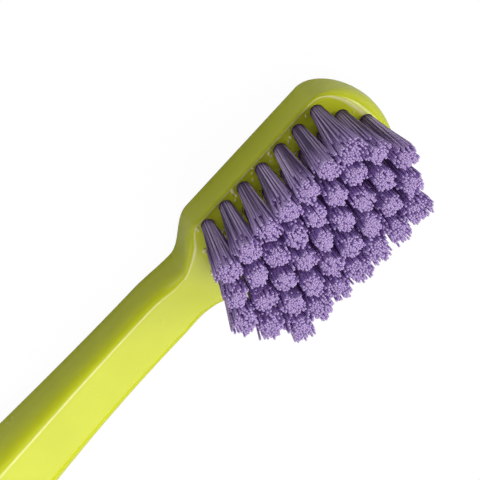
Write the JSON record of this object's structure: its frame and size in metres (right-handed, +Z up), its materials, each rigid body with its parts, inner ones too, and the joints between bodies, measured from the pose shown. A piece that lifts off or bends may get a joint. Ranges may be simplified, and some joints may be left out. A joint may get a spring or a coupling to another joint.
{
  "type": "manual toothbrush",
  "caption": "Manual toothbrush with a one-piece moulded handle and head, five staggered columns of flared bristle tufts, and flat metal anchors that hold each tuft in its blind hole.",
  "frame": {"origin": "under the middle of the brush, on the surface that it lies on with its bristles up", "axes": "+X to the toe of the head, along the handle; +Y across the brush; +Z up, from the back of the brush to the bristle tips"},
  "size_m": [0.175, 0.0116, 0.0154],
  "materials": {
    "body_plastic": "lime green polypropylene, satin to gloss",
    "bristle_nylon": "lavender filaments, satin",
    "anchor_metal": "pale brass strip, cut and unpolished"
  },
  "bodies": {
    "root": {"handle_body": "body_plastic", "tuft_a1": "bristle_nylon", "tuft_a2": "bristle_nylon", "tuft_a3": "bristle_nylon", "tuft_a4": "bristle_nylon", "tuft_a5": "bristle_nylon", "tuft_a6": "bristle_nylon", "tuft_a7": "bristle_nylon", "tuft_b1": "bristle_nylon", "tuft_b2": "bristle_nylon", "tuft_b3": "bristle_nylon", "tuft_b4": "bristle_nylon", "tuft_b5": "bristle_nylon", "tuft_b6": "bristle_nylon", "tuft_b7": "bristle_nylon", "tuft_b8": "bristle_nylon", "tuft_c1": "bristle_nylon", "tuft_c2": "bristle_nylon", "tuft_c3": "bristle_nylon", "tuft_c4": "bristle_nylon", "tuft_c5": "bristle_nylon", "tuft_c6": "bristle_nylon", "tuft_c7": "bristle_nylon", "tuft_c8": "bristle_nylon", "tuft_c9": "bristle_nylon", "tuft_d1": "bristle_nylon", "tuft_d2": "bristle_nylon", "tuft_d3": "bristle_nylon", "tuft_d4": "bristle_nylon", "tuft_d5": "bristle_nylon", "tuft_d6": "bristle_nylon", "tuft_d7": "bristle_nylon", "tuft_d8": "bristle_nylon", "tuft_e1": "bristle_nylon", "tuft_e2": "bristle_nylon", "tuft_e3": "bristle_nylon", "tuft_e4": "bristle_nylon", "tuft_e5": "bristle_nylon", "tuft_e6": "bristle_nylon", "tuft_e7": "bristle_nylon", "anchors_a": "anchor_metal", "anchors_b": "anchor_metal", "anchors_c": "anchor_metal", "anchors_d": "anchor_metal", "anchors_e": "anchor_metal"}
  },
  "joints": []
}
